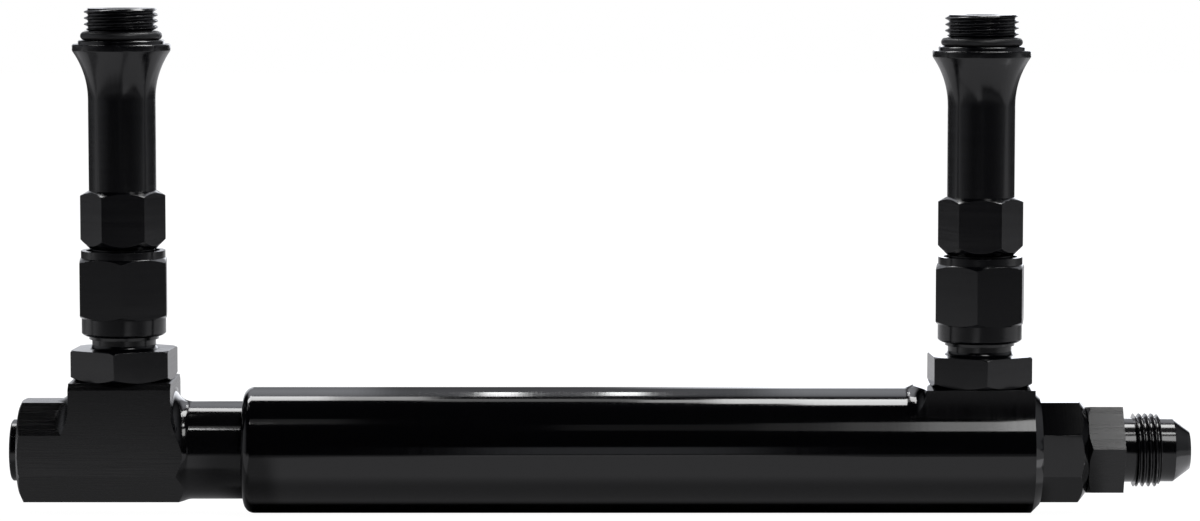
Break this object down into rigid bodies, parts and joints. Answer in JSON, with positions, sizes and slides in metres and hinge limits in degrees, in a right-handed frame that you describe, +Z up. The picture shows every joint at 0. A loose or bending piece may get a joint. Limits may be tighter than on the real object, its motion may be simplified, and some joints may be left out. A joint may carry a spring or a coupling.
{
  "type": "fuel log",
  "caption": "Adjustable fuel log: a tube with a telescoping tee block, feeding the fuel bowls of a carburettor through upright outlets on swivel nuts.",
  "frame": {"origin": "middle of the right outlet's thread, on its axis", "axes": "+Z up along the outlets, +X along the log towards the inlet, -Y the side that the picture shows"},
  "size_m": [0.306, 0.0328, 0.1312],
  "materials": {
    "log_finish": "black anodised, satin, turned and milled",
    "fitting_finish": "black anodised, semi-gloss, turned",
    "rubber": "black nitrile rubber",
    "wire": "bright spring wire"
  },
  "bodies": {
    "log": {"main_body": "log_finish", "inlet_fitting": "fitting_finish", "inlet_o_ring": "rubber", "right_port_fitting": "fitting_finish", "right_port_o_ring": "rubber", "right_swivel_nut": "fitting_finish", "right_swivel_wire": "wire", "right_carb_adapter": "fitting_finish", "right_carb_o_ring": "rubber"},
    "seals": {"slide_o_ring_inner": "rubber", "slide_o_ring_outer": "rubber"},
    "tee": {"slide_tee": "log_finish", "end_plug": "fitting_finish", "end_plug_o_ring": "rubber", "left_port_fitting": "fitting_finish", "left_port_o_ring": "rubber", "left_swivel_nut": "fitting_finish", "left_swivel_wire": "wire", "left_carb_adapter": "fitting_finish", "left_carb_o_ring": "rubber"}
  },
  "joints": [
    {"name": "tee_slide", "type": "slide", "parent": "log", "child": "seals", "axis": [-1, 0, 0], "range_m": [-0.012, 0.0155]},
    {"name": "tee_turn", "type": "hinge", "parent": "seals", "child": "tee", "pos_m": [0, 0, -0.11], "axis": [1, 0, 0], "continuous": true}
  ]
}
